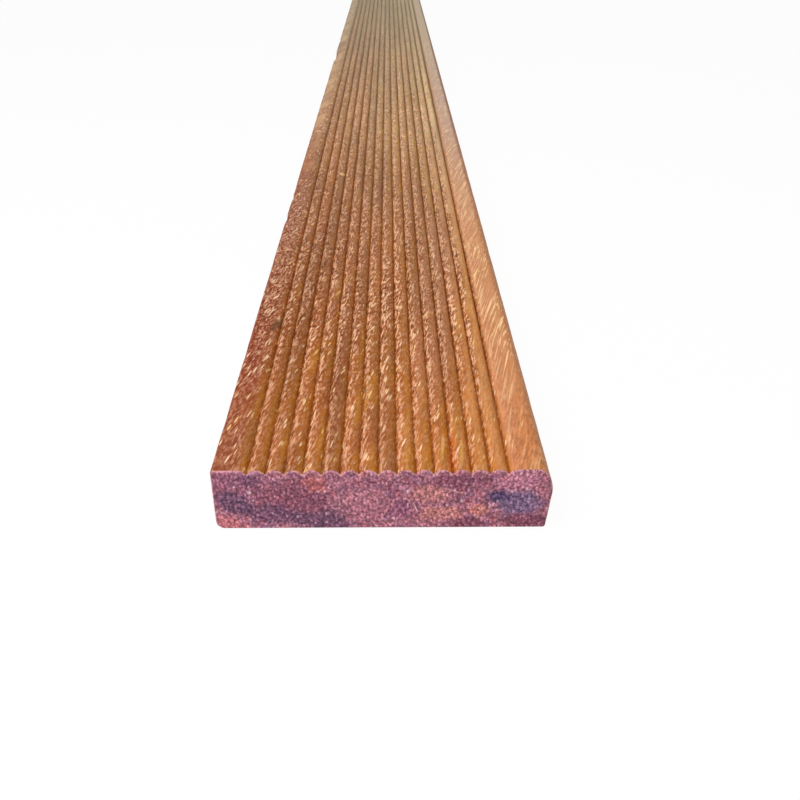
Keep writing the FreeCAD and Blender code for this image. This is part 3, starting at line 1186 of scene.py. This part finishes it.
def make_long_grain():
    material, tree = new_material("long_grain_hardwood")
    position = object_position(tree)
    at = board_places(tree, position)
    warped = use_group(tree, sway, position, *GRAIN_SWAY)[0]
    slanted = scaled_space(tree, warped, (1, 1, 1), (0, 0, -GRAIN_SLANT))
    wood = use_group(tree, solid_wood, slanted)
    mottle = chosen_mottle(tree, wood, at)
    torn = torn_share(tree, wood, mottle, at)
    amount = tear_amount(tree, torn, at)
    tone, hue = reed_tones(tree, at)

    colour = base_colour(tree, wood, slanted, at, torn, hue)
    colour = place_marks(tree, position, colour, BROAD_MARKS, TOP_MARK_CORE)
    colour = tinted(tree, wood, colour, at)
    colour = add_pits(tree, mottle, colour, amount, at)
    colour, dashes = add_dashes(tree, wood, colour, torn, amount)
    colour = place_marks(tree, position, colour, SMALL_MARKS, TOP_MARK_CORE)
    colour = shade_and_soil_grooves(tree, colour, mottle, at)
    colour = shade_reeds(tree, colour, tone, at)
    # far off, painted sheen and painted shade: the colour fades to a greyer, darker tan
    colour = blend_colour(tree, at.to_far, colour, FAR_SHEEN_AND_SHADE)

    height = product(tree, wood["Mottle"], torn)
    height = maths(tree, "MULTIPLY_ADD", dashes, DASH_RELIEF, height)
    height = maths(tree, "MULTIPLY_ADD", wood["Fibre"], FIBRE_RELIEF, height)
    roughness = eased(tree, torn, *LONG_GRAIN_ROUGHNESS)
    return finish_material(material, tree, colour, roughness, LONG_GRAIN_GLOSS, height, *LONG_GRAIN_BUMP)


long_grain = make_long_grain()
print(f"{long_grain.name}: {len(long_grain.node_tree.nodes)} nodes")

# %% [markdown]
# ## End grain
#
# A sawn end shows the vessels from their ends, as dots, and it drinks in dirt and damp: it is a dusty
# purple-pink with blue-grey, red and tan patches. Noise alone would put patches anywhere, so each is a soft
# ellipse from a table, given from the middle of the underside.

# %% End-grain colours
END_DUSTY = screen_colour(152, 98, 112)
END_ROSE = screen_colour(168, 110, 120)
END_PLUM = screen_colour(128, 78, 98)
END_MAROON = screen_colour(150, 82, 92)
END_VIOLET = screen_colour(126, 90, 116)
END_PALE = screen_colour(222, 168, 172)
END_GLINT = screen_colour(236, 214, 222)
RIM_FUZZ_AND_HIGHLIGHT = screen_colour(222, 162, 160)
PATCH_MAUVE = screen_colour(136, 84, 106)
PATCH_NAVY = screen_colour(94, 66, 90)
PATCH_WEDGE = screen_colour(174, 104, 110)
PATCH_RED = screen_colour(166, 88, 84)
PATCH_PLUM = screen_colour(118, 66, 84)
PATCH_TAN = screen_colour(176, 114, 110)
PATCH_ORANGE = screen_colour(176, 110, 100)
PATCH_SLATE = screen_colour(112, 90, 118)
PATCH_INK = screen_colour(78, 62, 96)
PATCH_PINK = screen_colour(178, 116, 136)
END_PATCHES = [  # colour, strength, middle across and up, reach across and up, turn in degrees
    (PATCH_MAUVE, 0.6, (-40, 14.5), (12, 6), 0),
    (PATCH_PLUM, 0.6, (-24, 10), (13, 6), 10),
    (PATCH_NAVY, 0.85, (-39.5, 8.8), (6.5, 4.2), 25),
    (PATCH_NAVY, 0.7, (-30, 5.2), (11, 4.2), 12),
    (PATCH_NAVY, 0.75, (-17, 3.0), (11, 3.8), 8),
    (PATCH_NAVY, 0.5, (-35.5, 15.8), (4.5, 2.6), 0),
    (PATCH_WEDGE, 0.85, (-41.5, 1.6), (8.5, 3.4), 22),
    (PATCH_NAVY, 0.6, (-12.5, 5.6), (4.5, 3.4), -20),
    (PATCH_RED, 0.65, (-17.8, 14.8), (4.4, 3.4), 20),
    (END_ROSE, 0.5, (-6, 8), (10, 6.5), 0),
    (PATCH_TAN, 0.75, (12.6, 11.6), (6.5, 3.8), 0),
    (PATCH_TAN, 0.85, (15.6, 5.0), (7.5, 3.4), 0),
    (PATCH_MAUVE, 0.8, (4.6, 6.0), (4, 4.6), 30),
    (PATCH_PLUM, 0.7, (20.3, 15.4), (11, 3), 0),
    (PATCH_PLUM, 0.75, (22.5, 1.6), (7, 2.6), 0),
    (PATCH_ORANGE, 0.85, (25.4, 6.0), (3.4, 2.6), 0),
    (PATCH_SLATE, 0.9, (36.2, 8.6), (8, 5.4), 0),
    (PATCH_INK, 0.9, (30.2, 10.6), (4.4, 2.3), 5),
    (PATCH_PINK, 0.75, (36.0, 15.4), (9, 3), -8),
    (PATCH_PLUM, 0.8, (38, 2.4), (9, 3.2), 0),
]
END_SCRATCHES = [  # the same values
    (END_GLINT, 0.8, (6.5, 12.4), (0.45, 0.9), 8),
    (END_GLINT, 0.7, (8.7, 6.9), (0.25, 1.7), -20),
    (END_PALE, 0.7, (18.5, 12.6), (4.0, 0.25), 20),
    (END_GLINT, 0.6, (-35.2, 12.2), (0.8, 0.9), 0),
]
print(f"{len(END_PATCHES)} patches and {len(END_SCRATCHES)} scratches on the end")

# %% [markdown]
# The patches are read at a position that sways twice, so their edges are ragged. Vessels and mottle then
# make every place lighter or darker, a few vessels glint, and the broken rim round the end is paler: its
# torn fibres are paler, and a painted highlight stands for the light they catch.

# %% End-grain ground
RAGGED_SWAYS = [(2.5 * MM, 3.0 * MM), (0.6 * MM, 1.0 * MM)]  # length and reach of each
END_CLOUD_SIZE = (5 * MM, 60 * MM, 4 * MM)
END_HUE_SIZE = (2.4 * MM, 4 * MM, 2.4 * MM)
DUSTY_CLOUD = (0.3, 0.5)
ROSE_CLOUD = (0.5, 0.7)
MAROON_HUE = (0.5, 0.7, 0.0, 0.7)
VIOLET_HUE = (0.5, 0.3, 0.0, 0.6)
PATCH_CORE = 0.5


def patched_end(tree, position):
    """The colours of the end before its vessels: slow clouds, two hues and the table of patches."""
    cloud = soft_noise(tree, scaled_space(tree, position, END_CLOUD_SIZE), 3.0, 0.6)
    hue = soft_noise(tree, scaled_space(tree, position, END_HUE_SIZE))
    colour = lay(tree, END_PLUM, [
        (spread(tree, cloud, *DUSTY_CLOUD), END_DUSTY),
        (spread(tree, cloud, *ROSE_CLOUD), END_ROSE),
        (spread(tree, hue, *MAROON_HUE), END_MAROON),
        (spread(tree, hue, *VIOLET_HUE), END_VIOLET),
    ])
    ragged = position
    for length, reach in RAGGED_SWAYS:
        ragged = use_group(tree, sway, ragged, length, reach)[0]
    return place_marks(tree, ragged, colour, END_PATCHES, PATCH_CORE, on_end=True)


print("clouds, hues and patches of the end ready")

# %% End-grain material
VESSEL_SWAY = (0.9 * MM, 1.1 * MM)  # length and reach
SCRATCH_CORE = 0.2
DOT_BY_CHANCE = (0.0, 0.9, 0.35, 1.0)
DOT_SHADE = (0.5, 0.2)  # what a dot adds, and the shade between the dots
COARSE_SHADE = 1.6
END_GAIN = (-0.1, 0.9, 0.45, 2.35)
END_PALE_SHARE = (0.5, 1.1, 0.0, 0.4)
RARE_CHANCE = (0.94, 0.99)
RARE_CORE = (0.4, 0.9)
RARE_SHARE = 0.4
RIM_RANGE = (0.1, 0.6)
RIM_MOTTLE = (0.42, 0.58, 0.05, 0.75)
END_ROUGHNESS = (0.85, 0.65)
END_GLOSS = 0.15
END_BUMP = (0.1 * MM, 0.6)  # distance and strength


def make_end_grain():
    material, tree = new_material("end_grain_hardwood")
    position = object_position(tree)
    wood = use_group(tree, solid_wood, use_group(tree, sway, position, *VESSEL_SWAY)[0])
    chance = wood["Vessel Chance"]
    dot = product(tree, wood["Vessel"], spread(tree, chance, *DOT_BY_CHANCE))
    shade = maths(tree, "MULTIPLY_ADD", dot, *DOT_SHADE)
    shade = maths(tree, "MULTIPLY_ADD", maths(tree, "SUBTRACT", wood["Coarse"], 0.5), COARSE_SHADE, shade)

    colour = patched_end(tree, position)
    colour = lay(tree, colour, [(1.0, spread(tree, shade, *END_GAIN))], "MULTIPLY")
    rare = product(tree, spread(tree, chance, *RARE_CHANCE), spread(tree, wood["Vessel"], *RARE_CORE))
    colour = lay(tree, colour, [
        (spread(tree, shade, *END_PALE_SHARE), END_PALE),
        (product(tree, rare, RARE_SHARE), END_GLINT),
    ])
    colour = place_marks(tree, position, colour, END_SCRATCHES, SCRATCH_CORE, on_end=True)
    # The rim: paler broken fibres, with a painted highlight for the light they catch
    on_rim = spread(tree, named_attribute(tree, "rim"), *RIM_RANGE)
    on_rim = product(tree, on_rim, spread(tree, wood["Mottle"], *RIM_MOTTLE))
    colour = lay(tree, colour, [(on_rim, RIM_FUZZ_AND_HIGHLIGHT)])
    roughness = eased(tree, shade, *END_ROUGHNESS)
    return finish_material(material, tree, colour, roughness, END_GLOSS, shade, *END_BUMP)


end_grain = make_end_grain()
print(f"{end_grain.name}: {len(end_grain.node_tree.nodes)} nodes")
board_mesh.materials.append(long_grain)
board_mesh.materials.append(end_grain)

# %% [markdown]
# ## Floor, light and camera
#
# The board lies on a plain white floor. A floor that is only lit would come out grey, so the camera sees
# it almost as plain white, and a Light Path node still lets it take and throw back light like any other.

# %% Floor
FLOOR_SIZE = 8.0
FLOOR_DROP = 0.05 * MM
FLOOR_GLOW = 0.955  # how far the camera sees the floor as plain white instead of lit
FLOOR_PAINT = (0.96, 0.96, 0.96, 1.0)
WHITE = (1, 1, 1, 1)


def make_floor():
    bm = bmesh.new()
    bmesh.ops.create_grid(bm, x_segments=1, y_segments=1, size=FLOOR_SIZE / 2)
    bmesh.ops.translate(bm, verts=bm.verts, vec=(0, 0, UNDERSIDE - FLOOR_DROP))
    mesh = bpy.data.meshes.new("floor")
    bm.to_mesh(mesh)
    bm.free()
    floor = bpy.data.objects.new("floor", mesh)
    bpy.context.scene.collection.objects.link(floor)
    material, tree = new_material("white_floor")
    lit = place_node(tree, "ShaderNodeBsdfDiffuse", {"Color": FLOOR_PAINT})
    white = place_node(tree, "ShaderNodeEmission", {"Color": WHITE, "Strength": 1.0})
    seen = place_node(tree, "ShaderNodeLightPath").outputs["Is Camera Ray"]
    share = maths(tree, "MULTIPLY", seen, FLOOR_GLOW)
    shader = place_node(tree, "ShaderNodeMixShader", {0: share, 1: lit.outputs[0], 2: white.outputs[0]})
    output = place_node(tree, "ShaderNodeOutputMaterial")
    tree.links.new(shader.outputs[0], output.inputs["Surface"])
    mesh.materials.append(material)


make_floor()
print("floor laid")

# %% [markdown]
# The world lights the board evenly from all round. A broad key from the left gives the reeds their bright
# and their shaded flanks, and a low warm window beyond the far end puts a sheen on the far reeds.

# %% Light
WORLD_LIGHT = 0.3
KEY_POWER = 7.0
KEY_COLOUR = (1.0, 1.0, 1.0)
KEY_SIZE = (0.7, 0.7)
KEY_PLACE = (-0.28, NEAR_END - 0.25, 0.72)
KEY_AIM = (0.0, NEAR_END + 0.1, 0.0)
WINDOW_POWER = 4.6
WINDOW_COLOUR = (1.0, 0.92, 0.62)
WINDOW_SIZE = (0.9, 0.35)
WINDOW_PLACE = (0.0, FAR_END + 0.5, 0.5)
WINDOW_AIM = (0.0, NEAR_END + 0.8, 0.0)


def make_world():
    world = bpy.data.worlds.new("white_studio")
    world.use_nodes = True
    tree = world.node_tree
    tree.nodes.clear()
    path = place_node(tree, "ShaderNodeLightPath")
    seen = maths(tree, "MAXIMUM", path.outputs["Is Camera Ray"], path.outputs["Is Transmission Ray"])
    strength = eased(tree, seen, WORLD_LIGHT, 1.0)
    background = place_node(tree, "ShaderNodeBackground", {"Color": WHITE, "Strength": strength})
    output = place_node(tree, "ShaderNodeOutputWorld")
    tree.links.new(background.outputs[0], output.inputs["Surface"])
    bpy.context.scene.world = world


def make_area_light(name, power, colour, size, place, aim):
    lamp = bpy.data.lights.new(name, "AREA")
    lamp.shape = "RECTANGLE"
    lamp.size, lamp.size_y = size
    lamp.energy = power
    lamp.color = colour
    made = bpy.data.objects.new(name, lamp)
    made.location = place
    made.rotation_euler = (Vector(place) - Vector(aim)).to_track_quat("Z", "Y").to_euler()
    bpy.context.scene.collection.objects.link(made)


make_world()
make_area_light("key", KEY_POWER, KEY_COLOUR, KEY_SIZE, KEY_PLACE, KEY_AIM)
make_area_light("window", WINDOW_POWER, WINDOW_COLOUR, WINDOW_SIZE, WINDOW_PLACE, WINDOW_AIM)
bpy.context.scene.view_settings.view_transform = "Standard"
print("light set")

# %% [markdown]
# The camera stands before the near end and looks down along the board. Its lens is given in pixels, as it
# was worked out from the lines of the reeds, and the sensor's width turns that into millimetres.

# %% Camera
CAMERA_PLACE = (1.68 * MM, -1086.61 * MM, 150.54 * MM)
CAMERA_YAW = math.radians(0.828)
CAMERA_DOWN = math.radians(30.551)
CAMERA_ROLL = math.radians(0.254)
LENS_PIXELS = 876.3
FRAME_PIXELS = 800
SENSOR = 36.0
CLIP_START = 5 * MM


def make_camera():
    data = bpy.data.cameras.new("camera")
    data.sensor_fit = "HORIZONTAL"
    data.sensor_width = SENSOR
    data.lens = LENS_PIXELS * SENSOR / FRAME_PIXELS
    data.clip_start = CLIP_START
    camera = bpy.data.objects.new("camera", data)
    turn = Matrix.Rotation(-CAMERA_YAW, 4, "Z")
    tilt = Matrix.Rotation(math.pi / 2 - CAMERA_DOWN, 4, "X")
    roll = Matrix.Rotation(CAMERA_ROLL, 4, "Z")
    camera.matrix_world = Matrix.Translation(CAMERA_PLACE) @ turn @ tilt @ roll
    bpy.context.scene.collection.objects.link(camera)
    bpy.context.scene.camera = camera


make_camera()
print("camera placed")
